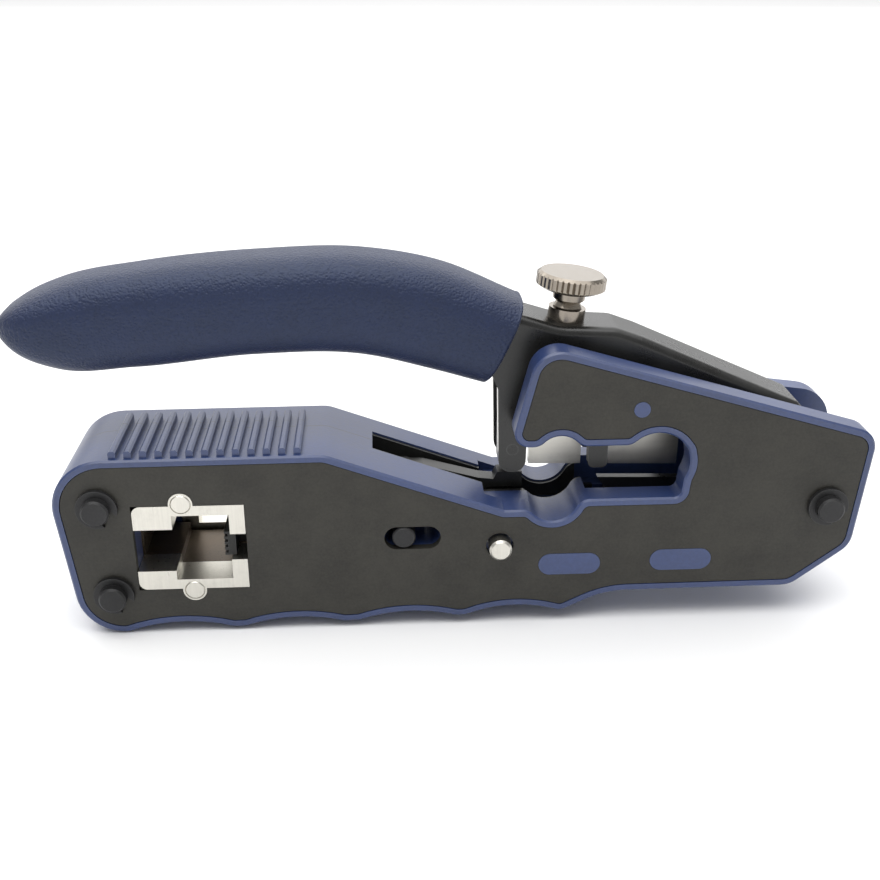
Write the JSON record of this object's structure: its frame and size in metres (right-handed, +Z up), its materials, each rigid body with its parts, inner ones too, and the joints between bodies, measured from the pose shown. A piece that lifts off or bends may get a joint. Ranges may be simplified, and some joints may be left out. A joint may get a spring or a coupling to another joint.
{
  "type": "crimping tool",
  "caption": "Compact pass-through crimping tool for modular plugs: slim body, foam-covered lever, plug nest, cutting and stripping blades, knurled depth screw, lock pin",
  "frame": {"origin": "centre of the plug nest, at the middle of the body's 22 mm thickness", "axes": "+X along the body to the lever's pivot, +Y the way the plug goes in (from the front plate to the rear plate), +Z up towards the lever"},
  "size_m": [0.1437, 0.0254, 0.0635],
  "materials": {
    "blue_plastic": "satin moulded plastic",
    "plate_steel": "dark olive-grey, blackened",
    "black_steel": "black oxide, matt",
    "bright_steel": "bright ground steel",
    "dark_block": "black, dull",
    "pin_steel": "dark grey, phosphated",
    "nickel": "nickel plated",
    "foam": "matt textured foam rubber",
    "spring_steel": "bright spring steel"
  },
  "bodies": {
    "body": {"front_shell": "blue_plastic", "rear_shell": "blue_plastic", "front_plate": "plate_steel", "rear_plate": "plate_steel", "die_upper": "bright_steel", "die_lower": "bright_steel", "die_pins": "bright_steel", "nest_block": "dark_block", "rear_die": "bright_steel", "jaw_pin_upper": "pin_steel", "jaw_pin_lower": "pin_steel", "pivot_pin": "pin_steel", "retaining_rings": "pin_steel", "side_plates": "black_steel", "pivot_spacer": "black_steel", "lower_blade": "black_steel", "lower_blade_rivets": "pin_steel", "rocker_pin": "pin_steel", "return_spring": "spring_steel"},
    "lever": {"lever": "black_steel", "grip": "foam", "screw_bush": "nickel", "blade_holder": "dark_block", "cutting_blade": "bright_steel", "blade_rivets": "black_steel", "nose_block": "dark_block", "nose_rivet": "pin_steel"},
    "screw": {"thumb_screw": "nickel", "screw_clip": "pin_steel"},
    "stripper": {"strip_carrier": "pin_steel", "strip_blade": "bright_steel", "strip_blade_pin": "pin_steel"},
    "rocker": {"rocker": "black_steel"},
    "press": {"push_bar": "pin_steel", "slot_pin": "pin_steel", "presser": "dark_block", "trim_blade": "bright_steel", "trim_screws": "pin_steel"},
    "lock": {"lock_pin": "bright_steel"}
  },
  "joints": [
    {"name": "lever_hinge", "type": "hinge", "parent": "body", "child": "lever", "pos_m": [0.1054, 0.0015, 0.005], "axis": [0, -1, 0], "range_deg": [-6.3, 4.6], "stiffness_Nm_per_rad": 2.5},
    {"name": "rocker_hinge", "type": "hinge", "parent": "body", "child": "rocker", "pos_m": [0.03384, 0.0015, 0.0062], "axis": [0, 1, 0], "range_deg": [-17.5, 12.8], "deforming": ["return_spring"]},
    {"name": "press_slide", "type": "slide", "parent": "body", "child": "press", "axis": [-1, 0, 0], "range_m": [-0.00178, 0.00128]},
    {"name": "lock_slide", "type": "slide", "parent": "body", "child": "lock", "axis": [0, 1, 0], "range_m": [0, 0.0025]},
    {"name": "thumb_screw_turn", "type": "hinge", "parent": "lever", "child": "screw", "pos_m": [0.0613, 0.0015, 0.0346], "axis": [0.1045, 0, 0.9945], "range_deg": [-181, 181]},
    {"name": "strip_slide", "type": "slide", "parent": "lever", "child": "stripper", "axis": [0.1045, 0, 0.9945], "range_m": [-0.00035, 0.00035]}
  ],
  "couplings": [
    {"joint": "rocker_hinge", "follows": "lever_hinge", "ratio": 2.75},
    {"joint": "press_slide", "follows": "lever_hinge", "m_per_rad": 0.0155},
    {"joint": "thumb_screw_turn", "follows": "strip_slide", "rad_per_m": 8976}
  ]
}
